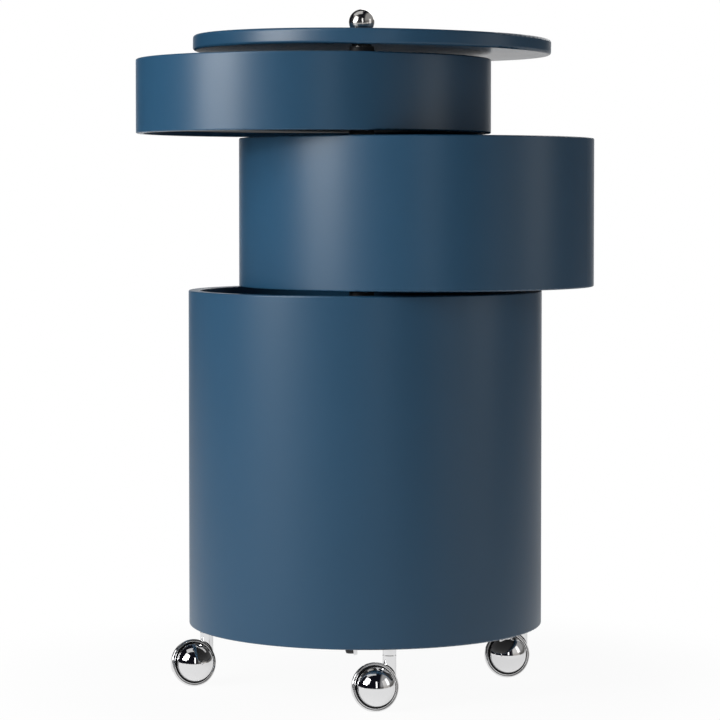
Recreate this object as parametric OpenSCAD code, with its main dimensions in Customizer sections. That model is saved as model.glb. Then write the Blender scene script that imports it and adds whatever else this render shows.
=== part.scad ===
// Swivelling round trolley. Two open trays and a lid swing about one upright rod over a deep base drum,
// which rolls on four ball casters. Millimetres, +Z up. The origin is on the floor under the axis of the
// base drum, and the rod stands on the -Y side of that axis.

/* [Drums] */
// Outer diameter of the three drums
drum_d = 380; // [300:5:460]
// Thickness of the drum walls
wall_t = 12; // [9:0.5:16]
// Rounding of the rim edges
rim_r = 1.5; // [0.5:0.25:2.5]
// Height of the base drum
base_h = 359; // [200:1:450]
// Height of the middle drum
mid_h = 158; // [100:1:220]
// Height of the shallow top drum
top_h = 79; // [60:1:120]

/* [Floor panels] */
// Thickness of the floor panel in the base drum
base_floor_t = 12; // [10:1:18]
// Recess under that panel, measured from the bottom rim
base_recess = 10; // [9:0.5:16]
// Thickness of the tray floors
tray_floor_t = 6; // [5:0.5:10]
// Recess under the tray floors
tray_recess = 5; // [3:0.5:10]
// Depth of the rabbet in the wall that holds a floor panel
rabbet = 4; // [3:0.5:6]

/* [Stack] */
// Gap between the base drum and the middle drum
low_gap = 4.5; // [3:0.5:8]
// Gap between the middle drum and the top drum
mid_gap = 5; // [3:0.5:8]
// Gap between the top drum and the lid
lid_gap = 7.5; // [5:0.5:12]
// Swing of the middle drum about the rod, as it stands
mid_swing = -19.5; // [-180:0.5:180]
// Swing of the top drum about the rod, as it stands
top_swing = 19.5; // [-180:0.5:180]
// Swing of the lid about the rod, as it stands
lid_swing = -2.5; // [-180:0.5:180]

/* [Lid] */
// Overhang of the lid past the drums
lid_over = 2; // [0:0.5:12]
// Thickness of the lid
lid_t = 16; // [10:0.5:22]
// Rounding of the lid's edges
lid_edge_r = 3; // [1:0.25:4.5]
// Lean of the lid on the play in its bush, down towards +X
lid_lean = 0.75; // [0:0.05:0.8]

/* [Pivot] */
// Diameter of the upright rod
rod_d = 16; // [12:0.5:18]
// Outer diameter of the tubes that turn round the rod
tube_d = 25.4; // [23:0.1:28]
// Wall of those tubes
tube_t = 2; // [1:0.25:2.25]
// Diameter of the studs at the rod's ends
stud_d = 10; // [6:0.5:11]
// Diameter of the ball knob
knob_d = 26; // [20:1:36]
// Height of the knob over its flat foot
knob_h = 19.5; // [16:0.5:20]

/* [Casters] */
// Height of the base drum's rim above the floor
ride_h = 63.5; // [62:0.5:80]
// Distance of the caster stems from the edge of the base's floor panel
caster_inset = 10; // [10:0.5:60]
// Turn of the caster pattern about the drum's axis
caster_turn = 9.5; // [9:0.5:81]
// Headings of the front, right, rear and left wheels, turned from -Y towards +X
headings = [20.5, 15, 96, 27]; // [-180:1:180]
// Diameter of the wheels
wheel_d = 50; // [44:0.5:50]
// Width of the bright rim that a wheel rolls on
rim_w = 4.5; // [4:0.25:6]
// Diameter of the domed cap on a wheel
cap_d = 41; // [34:0.5:42]
// Lean of a wheel, which tips its cap upwards
wheel_lean = 12; // [0:1:18]
// Distance that a wheel trails behind its stem
trail = 18; // [16:0.5:18]
// Distance from the stem's axis to the middle of the wheel, along the axle
inset = 7; // [5:0.5:8]
// Diameter of the caster stems
stem_d = 14; // [12:0.5:15]
// Diameter of the pins that the casters swivel on
pin_d = 8; // [6:0.5:8]

/* [Hidden] */
sides = ["front", "right", "rear", "left"];
$fn = 96;

// Overrun of cuts past the faces that they open
over = 1;
// Radial clearance of a shaft that turns in a bore
run_fit = 0.05;
// Radial clearance round a piece that is pressed, glued or screwed in
set_fit = 0.05;
// Gap between the faces of pieces that turn on each other
glide = 0.3;

drum_r = drum_d / 2;
bore_r = drum_r - wall_t;
seat_r = bore_r + rabbet;
tube_r = tube_d / 2;
tube_bore_r = tube_r - tube_t;
rod_r = rod_d / 2;
// The tubes stand this far off the drum wall
tube_off = 0.3;
pivot_reach = bore_r - tube_off - tube_r;
lid_r = drum_r + lid_over;
caster_reach = seat_r - caster_inset;

// Heights of the stack
base_z = ride_h;
base_top = base_z + base_h;
mid_z = base_top + low_gap;
mid_top = mid_z + mid_h;
top_z = mid_top + mid_gap;
top_top = top_z + top_h;
lid_z = top_top + lid_gap;
lid_top = lid_z + lid_t;
base_deck = base_z + base_recess + base_floor_t;

// Bushes and the play that lets the lid lean
bush_flange_t = 1.5;
bush_l = 12;
lid_bush_t = 2;
lid_bush_r = rod_r + lid_bush_t;
lid_flange_edge = 1;
lid_flange_r = knob_d / 2 + lid_flange_edge;
// Height of the bush's end below the lid
lid_stand = 1.5;
lid_play = glide + lid_t * sin(lid_lean);
lid_glide = glide + tube_r * sin(lid_lean);

// Foot plate that carries a pivot tube, and its screws
foot_t = 3;
foot_w = 24;
foot_l = 34;
foot_screws = [20, 34];
screw_d = 3.5;
screw_head_d = 7;
screw_head_h = 2;
drive_d = 3.4;
drive_depth = 1.3;
screw_end = 1;

// Ends of the rod
nut_h = 5;
nut_flats = 17;
// Slope of the bevel at the nut's free end
nut_bevel_share = 1;
rod_washer_t = 1.5;
rod_washer_d = 20;
stud_tail = 1;
knob_bore = 13;
knob_stud = 12;

// Caster sockets
ferrule_drop = 7.5;
plate_t = 3;
plate_w = 18;
plate_l = 34;
plate_screws = [16, 32];
spigot_d = 11;
spigot_h = 9;
socket_end = 1;
swivel_gap = 0.8;

// Wheels and hoods. The wheel's own axis is local Z, positive towards its cap
wheel_r = wheel_d / 2;
rim_t = 3.3;
rim_in = wheel_r - rim_t;
rim_edge = 1.2;
cap_r = cap_d / 2;
cap_t = 1.2;
cap_sink = 1.5;
cap_z = rim_w / 2 - cap_sink;
cap_boss = 3;
cap_boss_r = sqrt(pow(cap_r - cap_t, 2) - pow(cap_boss, 2)) - set_fit;
hood_shy = 0.4;
hood_out = wheel_r - hood_shy;
hood_t = 1.4;
hood_in = hood_out - hood_t;
hood_face = -rim_w / 2 - glide;
hood_low = -8;
core_gap = 0.4;
core_r = hood_in - core_gap;
core_back = -10;
hub_r = 6;
hub_back = -18.5;
axle_d = 6;
axle_end = 1;
stem_foot = 6;
wheel_gap = 0.5;
pin_shy = 1;
pin_top_gap = 1;
// Height of the wheel's centre that puts the lowest point of its rounded rim on the floor
hub_z = (wheel_r - rim_edge) * cos(wheel_lean) + (rim_w / 2 - rim_edge) * sin(wheel_lean) + rim_edge;
ferrule_z = base_z - ferrule_drop;
stem_top = ferrule_z - swivel_gap;
// Lowest point of the swivel pin, clear of the wheel where the wheel comes nearest to it
pin_low = hub_z + sqrt(pow(wheel_r + wheel_gap, 2) - pow(trail - pin_d / 2, 2)) + pin_shy;
socket_top = base_z + base_recess + spigot_h;

lacquer = "#2f516c";
lacquer_dark = "#1d3141";
nylon = "#18191b";
black_paint = "#1b1c1e";
steel = "#c9cccf";
chrome = "#dfe2e5";

// Shared shapes

// Rectangle with rounded corners
module round_rect(w, h, r) {
    translate([r, 0]) square([w - 2 * r, h]);
    translate([0, r]) square([w, h - 2 * r]);
    for (x = [r, w - r], y = [r, h - r]) translate([x, y]) circle(r);
}

// Tube with its foot on z = 0
module ring(r_out, r_in, h) {
    difference() {
        cylinder(r = r_out, h = h);
        translate([0, 0, -over]) cylinder(r = r_in, h = h + 2 * over);
    }
}

// Slot outline that starts as a disc round the origin and runs along +Y
module tongue(d, w, l) {
    circle(d = d);
    translate([-w / 2, 0]) square([w, l]);
    translate([0, l]) circle(d = w);
}

// Places its children at the rod's foot, with the drum's axis at pivot_reach along +Y
module about_rod(swing) {
    translate([0, -pivot_reach, 0]) rotate([0, 0, swing]) children();
}

// Button-head screw with a hexagon socket, head up from z = 0, shank down
module screw(l) difference() {
    union() {
        cylinder(d1 = screw_head_d, d2 = screw_head_d - screw_head_h, h = screw_head_h);
        translate([0, 0, -l]) cylinder(d = screw_d, h = l + over);
    }
    translate([0, 0, screw_head_h - drive_depth]) cylinder(d = drive_d, h = drive_depth + over, $fn = 6);
}

// Drums, in a frame with the rod at the origin and the drum's axis at pivot_reach along +Y

module drum_wall(h, recess, floor_t) {
    translate([0, pivot_reach, 0]) difference() {
        rotate_extrude($fn = 180) translate([bore_r, 0]) round_rect(wall_t, h, rim_r);
        translate([0, 0, -over]) cylinder(r = seat_r, h = recess + floor_t + over, $fn = 180);
    }
}

// Panel that fills the rabbet, with a hole for what passes at the rod and holes for the foot's screws
module floor_panel(floor_t, hole_r, screw_depth) {
    difference() {
        translate([0, pivot_reach, 0]) cylinder(r = seat_r - set_fit, h = floor_t, $fn = 180);
        translate([0, 0, -over]) cylinder(r = hole_r, h = floor_t + 2 * over);
        for (y = foot_screws) translate([0, y, floor_t - screw_depth])
            cylinder(d = screw_d + 2 * set_fit, h = screw_depth + over);
    }
}

// Tube from bottom to top with a foot plate whose underside is at deck
module pivot_tube(bottom, top, deck) {
    difference() {
        union() {
            translate([0, 0, bottom]) cylinder(r = tube_r, h = top - bottom);
            translate([0, 0, deck]) linear_extrude(foot_t) tongue(tube_d, foot_w, foot_l);
        }
        translate([0, 0, bottom - over]) cylinder(r = tube_bore_r, h = top - bottom + 2 * over);
        for (y = foot_screws) translate([0, y, deck - over])
            cylinder(d = screw_d + 2 * set_fit, h = foot_t + 2 * over);
    }
}

// Flanged bush, flange from z = 0 up, barrel down
module bush(flange_r, barrel_r, bore, l) {
    difference() {
        union() {
            cylinder(r = flange_r, h = bush_flange_t);
            translate([0, 0, -l]) cylinder(r = barrel_r, h = l + over);
        }
        translate([0, 0, -l - over]) cylinder(r = bore, h = l + bush_flange_t + 2 * over);
    }
}

module tube_bush_pair(bottom, top) {
    translate([0, 0, top - bush_flange_t]) bush(tube_r, tube_bore_r - set_fit, rod_r + run_fit, bush_l);
    translate([0, 0, bottom + bush_flange_t]) mirror([0, 0, 1])
        bush(tube_r, tube_bore_r - set_fit, rod_r + run_fit, bush_l);
}

module foot_screw_pair(deck, depth) {
    for (y = foot_screws) translate([0, y, deck + foot_t]) screw(foot_t + depth);
}

// Base

module base_drum() color(lacquer)
    about_rod(0) translate([0, 0, base_z]) drum_wall(base_h, base_recess, base_floor_t);

module base_floor() color(lacquer_dark) difference() {
    about_rod(0) translate([0, 0, base_z + base_recess])
        floor_panel(base_floor_t, stud_d / 2 + set_fit, base_floor_t - 2 * screw_end);
    at_casters() translate([0, 0, base_z + base_recess - over])
        cylinder(d = spigot_d + 2 * set_fit, h = spigot_h + socket_end + over);
    at_casters() for (x = plate_screws) translate([x, 0, base_z + base_recess - over])
        cylinder(d = screw_d + 2 * set_fit, h = base_floor_t - screw_end + over);
}

module base_pivot_tube() color(black_paint)
    about_rod(0) pivot_tube(base_deck, base_top - bush_flange_t, base_deck);

module base_tube_bush() color(nylon)
    about_rod(0) translate([0, 0, base_top - bush_flange_t])
        bush(tube_r, tube_bore_r - set_fit, rod_r + set_fit, bush_l);

module base_tube_screws() color(steel)
    about_rod(0) foot_screw_pair(base_deck, base_floor_t - 3 * screw_end);

module low_washer() color(nylon)
    about_rod(0) translate([0, 0, base_top]) ring(tube_r, rod_r + set_fit, low_gap - glide);

// The rod shoulders on the floor panel and carries the knob on its top stud
module pivot_rod() color(steel) about_rod(0) {
    translate([0, 0, base_deck]) cylinder(r = rod_r, h = lid_top + lid_glide - base_deck);
    translate([0, 0, nut_z() - stud_tail]) cylinder(d = stud_d, h = base_deck + over - nut_z() + stud_tail);
    translate([0, 0, lid_top + lid_glide - over]) cylinder(d = stud_d, h = knob_stud + over);
}

function nut_z() = base_z + base_recess - rod_washer_t - nut_h;

module rod_washer() color(steel)
    about_rod(0) translate([0, 0, base_z + base_recess - rod_washer_t])
        ring(rod_washer_d / 2, stud_d / 2 + set_fit, rod_washer_t);

module rod_nut() color(steel)
    about_rod(0) translate([0, 0, nut_z()]) difference() {
        intersection() {
            cylinder(d = nut_flats / cos(30), h = nut_h, $fn = 6);
            cylinder(d1 = nut_flats, d2 = nut_flats + 2 * nut_h * nut_bevel_share, h = nut_h);
        }
        translate([0, 0, -over]) cylinder(d = stud_d + 2 * set_fit, h = nut_h + 2 * over);
    }

// Ball cut flat where it faces the lid
module knob() color(steel)
    about_rod(0) translate([0, 0, lid_top + lid_glide]) difference() {
        translate([0, 0, knob_h - knob_d / 2]) sphere(d = knob_d);
        translate([0, 0, -knob_d]) cylinder(r = knob_d, h = knob_d);
        translate([0, 0, -over]) cylinder(d = stud_d + 2 * set_fit, h = knob_bore + over);
    }

// Trays. top is false for the middle drum and true for the shallow top drum

module tray_frame(top) {
    about_rod(top ? top_swing : mid_swing) translate([0, 0, top ? top_z : mid_z]) children();
}

module tray_drum(top) color(lacquer)
    tray_frame(top) drum_wall(top ? top_h : mid_h, tray_recess, tray_floor_t);

module tray_floor(top) color(lacquer_dark)
    tray_frame(top) translate([0, 0, tray_recess])
        floor_panel(tray_floor_t, tube_r + set_fit, tray_floor_t - screw_end);

module tray_tube(top) color(black_paint)
    tray_frame(top) pivot_tube(bush_flange_t, (top ? top_h : mid_h) - bush_flange_t,
        tray_recess + tray_floor_t);

module tray_bushes(top) color(nylon) tray_frame(top) tube_bush_pair(0, top ? top_h : mid_h);

module tray_screws(top) color(steel)
    tray_frame(top) foot_screw_pair(tray_recess + tray_floor_t, tray_floor_t - 2 * screw_end);

module tray_washer(top) color(nylon)
    tray_frame(top) translate([0, 0, top ? top_h : mid_h])
        ring(tube_r, rod_r + run_fit, top ? lid_gap - lid_stand - lid_glide : mid_gap - glide);

// Lid, which leans on the play between its bush and the rod

module lid_frame() {
    translate([0, -pivot_reach, lid_z]) rotate([0, lid_lean, 0]) rotate([0, 0, lid_swing]) children();
}

module lid_panel() color(lacquer) lid_frame() difference() {
    translate([0, pivot_reach, 0]) rotate_extrude($fn = 180) {
        square([lid_r - lid_edge_r, lid_t]);
        translate([0, lid_edge_r]) square([lid_r, lid_t - 2 * lid_edge_r]);
        for (y = [lid_edge_r, lid_t - lid_edge_r]) translate([lid_r - lid_edge_r, y]) circle(lid_edge_r);
    }
    translate([0, 0, -over]) cylinder(r = lid_bush_r + set_fit, h = lid_t + 2 * over);
    translate([0, 0, lid_t - bush_flange_t]) cylinder(r = lid_flange_r + set_fit, h = bush_flange_t + over);
}

// Its flange lies flush in the lid's top, and its barrel stands out below on the top drum's spacer
module lid_bush() color(nylon) lid_frame() translate([0, 0, lid_t - bush_flange_t])
    bush(lid_flange_r, lid_bush_r, rod_r + lid_play, lid_t - bush_flange_t + lid_stand);

// Casters

// Places its children at each caster's stem on the floor, turned so that +X points to the drum's axis
module at_casters() {
    for (i = [0:3]) at_stem(i) rotate([0, 0, stem_angle(i) + 180]) children();
}

function stem_angle(i) = caster_turn - 90 + 90 * i;

module at_stem(i) {
    translate([caster_reach * cos(stem_angle(i)), caster_reach * sin(stem_angle(i)), 0]) children();
}

// Plate under the floor panel, a spigot up into it and a ferrule down past the rim
module caster_sockets() color(chrome) at_casters() difference() {
    union() {
        translate([0, 0, ferrule_z]) cylinder(d = stem_d, h = base_z + base_recess - ferrule_z);
        translate([0, 0, base_z + base_recess - over]) cylinder(d = spigot_d, h = spigot_h + over);
        translate([0, 0, base_z + base_recess - plate_t]) rotate([0, 0, -90]) linear_extrude(plate_t)
            tongue(plate_w, plate_w, plate_l);
    }
    translate([0, 0, ferrule_z - over])
        cylinder(d = pin_d + 2 * run_fit, h = socket_top - socket_end - ferrule_z + over);
    for (x = plate_screws) translate([x, 0, base_z + base_recess - plate_t - over])
        cylinder(d = screw_d + 2 * set_fit, h = plate_t + 2 * over);
}

module socket_screws() color(steel) at_casters() for (x = plate_screws)
    translate([x, 0, base_z + base_recess - plate_t]) mirror([0, 0, 1])
        screw(plate_t + base_floor_t - 2 * screw_end);

// Frame of one wheel: origin at its centre, local Z along its axle towards the cap
module wheel_frame(i) {
    at_stem(i) rotate([0, 0, headings[i]]) translate([-trail, -inset, hub_z])
        rotate([90 - wheel_lean, 0, 0]) children();
}

// Bright rim with rounded edges
module caster_rim(i) color(chrome) wheel_frame(i)
    rotate_extrude() translate([rim_in, -rim_w / 2]) round_rect(wheel_r - rim_in, rim_w, rim_edge);

// Black core: a step inside the rim, a boss inside the cap, and a rounded back with a hub
module caster_core(i) color(nylon) wheel_frame(i) difference() {
    union() {
        translate([0, 0, -rim_w / 2 - over]) cylinder(r = rim_in - set_fit, h = rim_w / 2 + over + cap_z);
        translate([0, 0, -rim_w / 2]) cylinder(r = cap_boss_r, h = rim_w / 2 + cap_z + cap_boss);
        intersection() {
            sphere(r = core_r);
            translate([0, 0, core_back]) cylinder(r = wheel_r, h = -rim_w / 2 - core_back);
        }
        translate([0, 0, hub_back]) cylinder(r = hub_r, h = -hub_back);
    }
    translate([0, 0, hub_back - over]) cylinder(d = axle_d + 2 * run_fit, h = -hub_back + over + axle_end);
}

// Half ball pressed over the core's boss
module caster_cap(i) color(chrome) wheel_frame(i) translate([0, 0, cap_z]) difference() {
    sphere(r = cap_r);
    sphere(r = cap_r - cap_t);
    translate([0, 0, -cap_d]) cylinder(r = cap_d, h = cap_d);
}

module caster_axle(i) color(steel) wheel_frame(i)
    translate([0, 0, -hood_in]) cylinder(d = axle_d, h = hood_in);

module caster_pin(i) color(steel) at_stem(i)
    translate([0, 0, pin_low]) cylinder(d = pin_d, h = socket_top - socket_end - pin_top_gap - pin_low);

// Shell over the back and the top of the wheel, cast in one with the stem that lands on its shoulder
module caster_hood(i) color(chrome) difference() {
    union() {
        wheel_frame(i) hood_shell();
        at_stem(i) translate([0, 0, hub_z + stem_foot]) cylinder(d = stem_d, h = stem_top - hub_z - stem_foot);
    }
    wheel_frame(i) translate([0, 0, hood_face]) cylinder(r = wheel_r + wheel_gap, h = wheel_d);
    wheel_frame(i) difference() {
        sphere(r = hood_in);
        translate([0, 0, -wheel_d]) cylinder(r = hub_r, h = wheel_d + hub_back - glide);
    }
    wheel_frame(i) translate([0, 0, -hood_in]) cylinder(d = axle_d + 2 * set_fit, h = wheel_d);
    at_stem(i) translate([0, 0, pin_low]) cylinder(d = pin_d + 2 * set_fit, h = stem_top - pin_low + over);
}

module hood_shell() intersection() {
    union() {
        difference() {
            sphere(r = hood_out);
            sphere(r = hood_in);
        }
        intersection() {
            translate([0, 0, -wheel_r]) cylinder(r = hub_r, h = wheel_r + hub_back - glide);
            sphere(r = hood_out);
        }
    }
    translate([-wheel_d, hood_low, -wheel_d]) cube([2 * wheel_d, 2 * wheel_d, wheel_d + hood_face]);
}

base_drum();
base_floor();
base_pivot_tube();
base_tube_bush();
base_tube_screws();
pivot_rod();
rod_washer();
rod_nut();
knob();
low_washer();
caster_sockets();
socket_screws();
tray_drum(false);  // mid_drum
tray_floor(false);  // mid_floor
tray_tube(false);  // mid_pivot_tube
tray_bushes(false);  // mid_tube_bushes
tray_screws(false);  // mid_tube_screws
tray_washer(false);  // mid_washer
tray_drum(true);  // top_drum
tray_floor(true);  // top_floor
tray_tube(true);  // top_pivot_tube
tray_bushes(true);  // top_tube_bushes
tray_screws(true);  // top_tube_screws
tray_washer(true);  // top_washer
lid_panel();
lid_bush();
for (i = [0:3]) {
    caster_hood(i);
    caster_pin(i);
    caster_axle(i);
    caster_rim(i);
    caster_core(i);
    caster_cap(i);
}
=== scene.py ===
import math

import bpy
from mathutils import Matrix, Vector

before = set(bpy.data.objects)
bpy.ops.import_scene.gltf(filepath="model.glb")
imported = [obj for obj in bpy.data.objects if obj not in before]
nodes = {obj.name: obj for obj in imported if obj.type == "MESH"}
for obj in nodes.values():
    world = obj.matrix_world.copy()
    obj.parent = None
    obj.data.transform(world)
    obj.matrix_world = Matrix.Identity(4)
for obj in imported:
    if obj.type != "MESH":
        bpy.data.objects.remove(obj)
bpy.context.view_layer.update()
scene = bpy.context.scene

# Colours, linear
LACQUER = (0.0215, 0.083, 0.160)
# A darker copy of the lacquer for the trays' inside floors: painted shade
LACQUER_INSIDE_PAINTED_SHADE = (0.020, 0.070, 0.134)
BLACK_PAINT = (0.012, 0.012, 0.013)
NYLON = (0.011, 0.011, 0.012)
# Near black for the undersides of the tray floors: painted shade
UNDERSIDE_PAINTED_SHADE = (0.004, 0.004, 0.0045)
BRUSHED = (0.62, 0.60, 0.575)
POLISHED = (0.74, 0.715, 0.69)
CHROME = (0.84, 0.84, 0.845)
ZINC = (0.56, 0.55, 0.52)
FLOOR_GREY = (0.85, 0.85, 0.85)
WARM = (1.0, 0.96, 0.92)
WHITE = (1.0, 1.0, 1.0)

# Camera, fitted to the drums' rims in the photograph. Pixels of a 720 wide frame. The shift and the pitch
# share what brings the object to the middle, so that views from above don't cut off the lid
FRAME_PX = 720
FOCAL_PX = 2705.8
SENSOR_MM = 36
CAMERA_AWAY = 2.915
CAMERA_HEIGHT = 0.525
CAMERA_ROUND = math.radians(1.25)
CAMERA_TURN = math.radians(1.258)
CAMERA_PITCH = math.radians(2.295)
SHIFT_RIGHT_SHARE = -0.0067
SHIFT_UP_SHARE = -0.0793

SIDES = ("front", "right", "rear", "left")


# Node helpers

# Sockets of the mix node that carry colours
MIX_A, MIX_B, MIX_RESULT = 6, 7, 2


class Tree:
    """Short calls for the node tree of one material or of the world."""

    def __init__(self, tree):
        self.tree = tree
        tree.nodes.clear()

    def add(self, kind, **settings):
        node = self.tree.nodes.new(kind)
        for key, value in settings.items():
            setattr(node, key, value)
        return node

    def join(self, source, target):
        self.tree.links.new(source, target)

    def feed(self, socket, value):
        """Sets a socket to a number or colour, or links a node's output to it."""
        if isinstance(value, bpy.types.NodeSocket):
            self.join(value, socket)
        elif hasattr(value, "__len__"):
            socket.default_value = tuple(value) + (1.0,) * (len(socket.default_value) - len(value))
        else:
            socket.default_value = value

    def math(self, operation, a, b):
        node = self.add("ShaderNodeMath", operation=operation)
        self.feed(node.inputs[0], a)
        self.feed(node.inputs[1], b)
        return node.outputs[0]

    def spread(self, value, low, high, start=0.0, end=1.0, smooth=False):
        """Maps value from start..end to low..high."""
        node = self.add("ShaderNodeMapRange", interpolation_type="SMOOTHSTEP" if smooth else "LINEAR")
        for index, given in enumerate((value, start, end, low, high)):
            self.feed(node.inputs[index], given)
        return node.outputs[0]

    def noise(self, place, scale, detail=2.0, rough=0.5):
        node = self.add("ShaderNodeTexNoise")
        self.join(place, node.inputs["Vector"])
        node.inputs["Scale"].default_value = scale
        node.inputs["Detail"].default_value = detail
        node.inputs["Roughness"].default_value = rough
        return node.outputs["Fac"]

    def mix(self, share, a, b):
        node = self.add("ShaderNodeMix", data_type="RGBA")
        self.feed(node.inputs["Factor"], share)
        self.feed(node.inputs[MIX_A], a)
        self.feed(node.inputs[MIX_B], b)
        return node.outputs[MIX_RESULT]

    def stretched(self, place, by):
        """Coordinates stretched by a factor along each axis."""
        node = self.add("ShaderNodeMapping")
        self.join(place, node.inputs["Vector"])
        node.inputs["Scale"].default_value = by
        return node.outputs["Vector"]

    def bump(self, height, distance, over=None):
        node = self.add("ShaderNodeBump")
        node.inputs["Strength"].default_value = 1.0
        node.inputs["Distance"].default_value = distance
        self.join(height, node.inputs["Height"])
        if over is not None:
            self.join(over, node.inputs["Normal"])
        return node.outputs["Normal"]


def shades(colour, by):
    """The colour made darker and lighter by a share."""
    return [c * (1 - by) for c in colour], [c * (1 + by) for c in colour]


def surface(name, metallic=0.0):
    """A new material: its tree, its shader node and the place on the piece that patterns are laid on."""
    material = bpy.data.materials.new(name)
    material.use_nodes = True
    tree = Tree(material.node_tree)
    shader = tree.add("ShaderNodeBsdfPrincipled")
    shader.inputs["Metallic"].default_value = metallic
    out = tree.add("ShaderNodeOutputMaterial")
    tree.join(shader.outputs[0], out.inputs[0])
    place = tree.add("ShaderNodeTexCoord").outputs["Object"]
    return material, tree, shader, place


# Materials. A pattern is the scale of its noise per metre, and its detail and roughness where they aren't
# the usual ones. A shade is the share by which a pattern darkens and lightens the colour. Depths are in
# metres

# Range of the normal's upright part over which a face counts as looking down
UNDER_FROM, UNDER_TO = -0.95, -0.6

CLOUDS, CLOUD_SHADE = (7.0, 3.0), 0.03
MOTTLE, MOTTLE_ROUGHENS = (38.0, 4.0), 0.02
SPECKS, SPECKS_ROUGHEN = (900.0,), 0.015
PEEL, PEEL_DEPTH = (420.0, 1.0), 0.000012
GRAIN, GRAIN_DEPTH = (2600.0, 2.0), 0.000002
LACQUER_IOR = 1.5

HAZE, HAZE_SHADE = (55.0, 4.0), 0.02
SCUFFS, SCUFF_STRETCH = (160.0, 5.0, 0.7), (1.0, 1.0, 14.0)
SCUFF_FROM, SCUFF_TO = 0.5, 0.8
SCUFF_ROUGH_TIMES = 2.2
WAVES, WAVE_DEPTH = (70.0, 1.0), 0.00003

RINGS, RING_STRETCH = (70.0, 3.0, 0.7), (1.0, 1.0, 60.0)
RING_SHADE, RING_DEPTH = 0.08, 0.000015
RING_ROUGH_LOW_TIMES, RING_ROUGH_HIGH_TIMES = 0.8, 1.25
RING_ANISOTROPY = 0.75

SPECKLE_DETAIL, SPECKLE_ROUGH = 3.0, 0.6
SPECKLE_SHADE, SPECKLE_DEPTH = 0.25, 0.00004
SMEARS, SMEAR_SMOOTHS, SMEAR_ROUGHENS = (60.0, 3.0), 0.05, 0.06

PATCHES, PATCH_SHADE = (300.0, 4.0, 0.6), 0.12
PATCH_SMOOTHS, PATCH_ROUGHENS = 0.08, 0.1
PITS, PIT_DEPTH = (1500.0,), 0.00001


def lacquer(name, colour, rough, colour_under, rough_under):
    """Sprayed satin lacquer: faint clouds in the colour, a mottled sheen and orange peel. Faces that look
    down have a roughness and a colour of their own; on the tray floors that colour is painted shade."""
    material, tree, shader, place = surface(name)
    facing = tree.add("ShaderNodeSeparateXYZ")
    tree.join(tree.add("ShaderNodeNewGeometry").outputs["Normal"], facing.inputs[0])
    under = tree.spread(facing.outputs["Z"], 1.0, 0.0, UNDER_FROM, UNDER_TO)
    cloudy = tree.mix(tree.noise(place, *CLOUDS), *shades(colour, CLOUD_SHADE))
    # Faces that look down take colour_under, which on the tray floors is painted shade
    tree.join(tree.mix(under, cloudy, colour_under), shader.inputs["Base Color"])
    mottle = tree.spread(tree.noise(place, *MOTTLE), -MOTTLE_ROUGHENS, MOTTLE_ROUGHENS)
    specks = tree.spread(tree.noise(place, *SPECKS), -SPECKS_ROUGHEN, SPECKS_ROUGHEN)
    sheen = tree.math("ADD", tree.math("ADD", mottle, specks), tree.spread(under, rough, rough_under))
    tree.join(sheen, shader.inputs["Roughness"])
    peel = tree.bump(tree.noise(place, *PEEL), PEEL_DEPTH)
    tree.join(tree.bump(tree.noise(place, *GRAIN), GRAIN_DEPTH, over=peel), shader.inputs["Normal"])
    shader.inputs["IOR"].default_value = LACQUER_IOR
    return material


def plated(name, colour, rough):
    """Bright plating over pressed metal: nearly a mirror, with slight waves and hairline scuffs."""
    material, tree, shader, place = surface(name, metallic=1.0)
    haze = tree.noise(place, *HAZE)
    tree.join(tree.mix(haze, *shades(colour, HAZE_SHADE)), shader.inputs["Base Color"])
    scuffs = tree.noise(tree.stretched(place, SCUFF_STRETCH), *SCUFFS)
    worn = tree.spread(scuffs, rough, rough * SCUFF_ROUGH_TIMES, SCUFF_FROM, SCUFF_TO)
    tree.join(worn, shader.inputs["Roughness"])
    tree.join(tree.bump(tree.noise(place, *WAVES), WAVE_DEPTH), shader.inputs["Normal"])
    return material


def turned(name, colour, rough):
    """Metal turned on a lathe: fine rings round the upright axis, so that light spreads up and down."""
    material, tree, shader, place = surface(name, metallic=1.0)
    shader.inputs["Anisotropic"].default_value = RING_ANISOTROPY
    tangent = tree.add("ShaderNodeTangent", direction_type="RADIAL", axis="Z")
    tree.join(tangent.outputs[0], shader.inputs["Tangent"])
    rings = tree.noise(tree.stretched(place, RING_STRETCH), *RINGS)
    tree.join(tree.mix(rings, *shades(colour, RING_SHADE)), shader.inputs["Base Color"])
    worn = tree.spread(rings, rough * RING_ROUGH_LOW_TIMES, rough * RING_ROUGH_HIGH_TIMES)
    tree.join(worn, shader.inputs["Roughness"])
    tree.join(tree.bump(rings, RING_DEPTH), shader.inputs["Normal"])
    return material


def coated(name, colour, rough, grain, gleam):
    """Black powder coat or moulded plastic: a fine grain that catches the light."""
    material, tree, shader, place = surface(name)
    speckle = tree.noise(place, grain, SPECKLE_DETAIL, SPECKLE_ROUGH)
    tree.join(tree.mix(speckle, *shades(colour, SPECKLE_SHADE)), shader.inputs["Base Color"])
    smears = tree.spread(tree.noise(place, *SMEARS), rough - SMEAR_SMOOTHS, rough + SMEAR_ROUGHENS)
    tree.join(smears, shader.inputs["Roughness"])
    tree.join(tree.bump(speckle, SPECKLE_DEPTH), shader.inputs["Normal"])
    shader.inputs["Specular IOR Level"].default_value = gleam
    return material


def zinc(name, colour, rough):
    """Plated hardware: a dull, slightly patchy metal."""
    material, tree, shader, place = surface(name, metallic=1.0)
    patches = tree.noise(place, *PATCHES)
    tree.join(tree.mix(patches, *shades(colour, PATCH_SHADE)), shader.inputs["Base Color"])
    worn = tree.spread(patches, rough - PATCH_SMOOTHS, rough + PATCH_ROUGHENS)
    tree.join(worn, shader.inputs["Roughness"])
    tree.join(tree.bump(tree.noise(place, *PITS), PIT_DEPTH), shader.inputs["Normal"])
    return material


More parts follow.
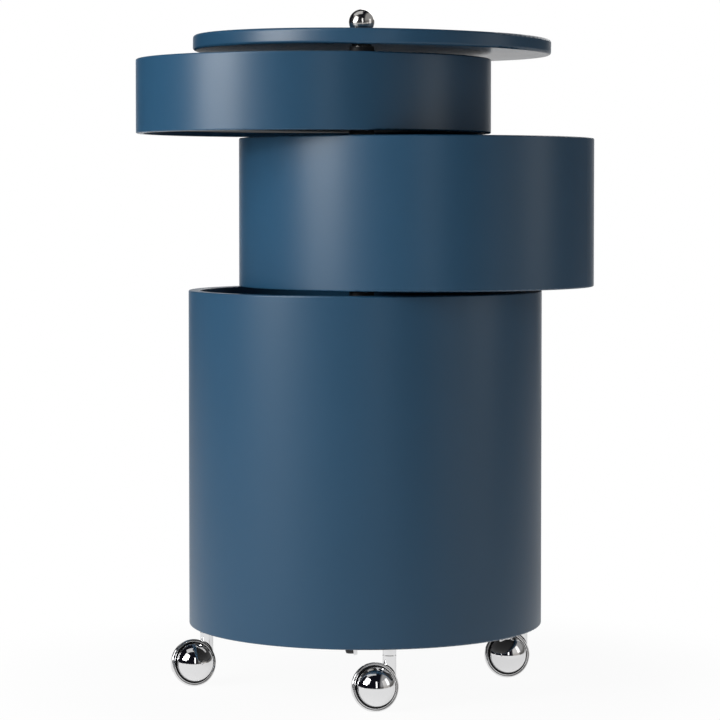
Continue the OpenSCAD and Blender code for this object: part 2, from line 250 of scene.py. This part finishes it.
def of_casters(*parts):
    """The names of these parts on all four casters."""
    return [f"caster_{side}_{part}" for side in SIDES for part in parts]


def dress(material, *names):
    for name in names:
        mesh = nodes[name].data
        mesh.materials.clear()
        mesh.materials.append(material)


dress(lacquer("lacquer_satin", LACQUER, rough=0.36, colour_under=LACQUER, rough_under=0.26),
      "base_drum", "mid_drum", "top_drum", "lid_panel")
# Tray floors: the darker inside lacquer and the black undersides are painted shade
dress(lacquer("lacquer_floors_painted_shade", LACQUER_INSIDE_PAINTED_SHADE, rough=0.40, colour_under=UNDERSIDE_PAINTED_SHADE, rough_under=0.65),
      "base_floor", "mid_floor", "top_floor")
dress(coated("powder_coat", BLACK_PAINT, rough=0.42, grain=1800.0, gleam=0.5),
      "base_pivot_tube", "mid_pivot_tube", "top_pivot_tube")
dress(coated("moulded_nylon", NYLON, rough=0.55, grain=1200.0, gleam=0.25),
      "base_tube_bush", "mid_tube_bushes", "top_tube_bushes",
      "low_washer", "mid_washer", "top_washer", "lid_bush", *of_casters("core"))
dress(zinc("zinc_plate", ZINC, rough=0.38),
      "base_tube_screws", "mid_tube_screws", "top_tube_screws", "socket_screws",
      "rod_washer", "rod_nut", *of_casters("pin", "axle"))
dress(turned("turned_steel", BRUSHED, rough=0.26), "pivot_rod")
dress(plated("polished_steel", POLISHED, rough=0.14), "knob")
dress(plated("chrome_plate", CHROME, rough=0.03), "caster_sockets", *of_casters("hood", "rim", "cap"))


def around(angle, away, height):
    """A place round the object. The angle is measured from straight in front, positive to the
    photograph's right."""
    return away * math.sin(angle), -away * math.cos(angle), height


# Camera

lens = bpy.data.cameras.new("camera")
lens.sensor_width = SENSOR_MM
lens.lens = FOCAL_PX / FRAME_PX * SENSOR_MM
lens.shift_x = SHIFT_RIGHT_SHARE
lens.shift_y = SHIFT_UP_SHARE
camera = bpy.data.objects.new("camera", lens)
camera.location = around(CAMERA_ROUND, CAMERA_AWAY, CAMERA_HEIGHT)
camera.rotation_euler = (math.pi / 2 - CAMERA_PITCH, 0, CAMERA_TURN)
scene.collection.objects.link(camera)
scene.camera = camera


# Lights

def softbox(name, azimuth, away, height, size, radiance, aim, colour=WHITE):
    """An area lamp. The azimuth is in degrees."""
    data = bpy.data.lights.new(name, "AREA")
    data.shape = "RECTANGLE"
    data.size, data.size_y = size
    data.energy = radiance * math.pi * size[0] * size[1]
    data.color = colour
    lamp = bpy.data.objects.new(name, data)
    lamp.location = around(math.radians(azimuth), away, height)
    target = Vector(aim) - lamp.location
    lamp.rotation_euler = target.to_track_quat("-Z", "Y").to_euler()
    lamp.visible_camera = False
    scene.collection.objects.link(lamp)


# The key lamps are the photograph's light from the left. The back lamp is there for
# views from behind
softbox("key", azimuth=-46, away=2.2, height=1.60, size=(0.8, 1.2), radiance=6.3, aim=(0, 0, 0.5))
softbox("key_low", azimuth=-59, away=2.2, height=0.92, size=(1.05, 0.5), radiance=12.4, aim=(0, 0, 0.6))
softbox("key_high", azimuth=-60, away=2.2, height=1.70, size=(1.1, 1.5), radiance=1.5, aim=(0, 0, 0.6))
softbox("right", azimuth=62, away=0.95, height=0.35, size=(0.7, 0.7), radiance=0.32, aim=(0, 0, 0.3),
        colour=WARM)
softbox("right_side", azimuth=80, away=1.6, height=0.80, size=(0.6, 1.0), radiance=0.82, aim=(0, 0, 0.5))
softbox("window", azimuth=9, away=3.3, height=1.35, size=(0.45, 2.2), radiance=1.9, aim=(0, 0, 0.4))
softbox("back", azimuth=165, away=2.4, height=1.60, size=(1.4, 1.2), radiance=2.2, aim=(0, 0, 0.4))
softbox("overhead", azimuth=-90, away=0.7, height=2.3, size=(1.2, 1.8), radiance=0.6, aim=(-0.4, 0, 0.3))

# World: white for the camera, a studio with a white backdrop for reflections, and even light for the rest.
# Up, right and back are shares of the direction that a ray leaves in
BACKDROP_FROM_SHARE, BACKDROP_TO_SHARE = 0.88, 0.985
RIGHT_FROM_SHARE, RIGHT_TO_SHARE = 0.40, 0.60
RISE_FROM_SHARE, RISE_TO_SHARE = 0.05, 0.35
STUDIO_DARK = (0.006, 0.006, 0.010)
WALL_LOW = (0.12, 0.115, 0.11)
WALL_HIGH = (0.32, 0.32, 0.32)
EVEN_LIGHT = (0.01, 0.01, 0.01)

world = bpy.data.worlds.new("studio")
world.use_nodes = True
scene.world = world
sky = Tree(world.node_tree)
path = sky.add("ShaderNodeLightPath")
axes = sky.add("ShaderNodeSeparateXYZ")
sky.join(sky.add("ShaderNodeTexCoord").outputs["Generated"], axes.inputs[0])
right, back, up = axes.outputs
risen = sky.spread(up, 0.0, 1.0, RISE_FROM_SHARE, RISE_TO_SHARE, smooth=True)
rightward = sky.spread(right, 0.0, 1.0, RIGHT_FROM_SHARE, RIGHT_TO_SHARE, smooth=True)
behind = sky.spread(back, 0.0, 1.0, BACKDROP_FROM_SHARE, BACKDROP_TO_SHARE, smooth=True)
wall = sky.mix(risen, WALL_LOW, WALL_HIGH)
studio = sky.mix(behind, sky.mix(rightward, STUDIO_DARK, wall), WHITE)
clear = sky.math("MAXIMUM", path.outputs["Is Glossy Ray"], path.outputs["Is Transmission Ray"])
seen = sky.mix(path.outputs["Is Camera Ray"], sky.mix(clear, EVEN_LIGHT, studio), WHITE)
shown = sky.add("ShaderNodeBackground")
sky.join(seen, shown.inputs["Color"])
sky_out = sky.add("ShaderNodeOutputWorld")
sky.join(shown.outputs[0], sky_out.inputs[0])


# Floor: white to the camera apart from the object's shadow, which fades out before the floor ends, and
# pale in reflections

FLOOR_REACH = 4.0
SHADOW_SHARE = 0.05
SHADOW_NEAR, SHADOW_FAR = 0.25, 0.55
SHINE_NEAR_SHARE, SHINE_FAR_SHARE = 0.75, 0.38
SHINE_NEAR, SHINE_FAR = 0.35, 1.0


def floor():
    mesh = bpy.data.meshes.new("floor")
    r = FLOOR_REACH
    mesh.from_pydata([(-r, -r, 0), (r, -r, 0), (r, r, 0), (-r, r, 0)], [], [(0, 1, 2, 3)])
    slab = bpy.data.objects.new("floor", mesh)
    scene.collection.objects.link(slab)
    material = bpy.data.materials.new("floor")
    material.use_nodes = True
    tree = Tree(material.node_tree)
    length = tree.add("ShaderNodeVectorMath", operation="LENGTH")
    tree.join(tree.add("ShaderNodeTexCoord").outputs["Object"], length.inputs[0])
    reach = length.outputs["Value"]
    plain = tree.add("ShaderNodeBsdfDiffuse")
    tree.feed(plain.inputs["Color"], FLOOR_GREY)
    white = tree.add("ShaderNodeEmission")
    rays = tree.add("ShaderNodeLightPath")
    shadow = tree.spread(reach, SHADOW_SHARE, 0.0, SHADOW_NEAR, SHADOW_FAR, smooth=True)
    seen_white = tree.math("MULTIPLY", tree.math("SUBTRACT", 1.0, shadow), rays.outputs["Is Camera Ray"])
    shine = tree.spread(reach, SHINE_NEAR_SHARE, SHINE_FAR_SHARE, SHINE_NEAR, SHINE_FAR, smooth=True)
    mirrored = tree.math("MULTIPLY", shine, rays.outputs["Is Glossy Ray"])
    blend = tree.add("ShaderNodeMixShader")
    tree.join(tree.math("MAXIMUM", seen_white, mirrored), blend.inputs[0])
    tree.join(plain.outputs[0], blend.inputs[1])
    tree.join(white.outputs[0], blend.inputs[2])
    out = tree.add("ShaderNodeOutputMaterial")
    tree.join(blend.outputs[0], out.inputs[0])
    mesh.materials.append(material)


floor()

scene.view_settings.view_transform = "Standard"
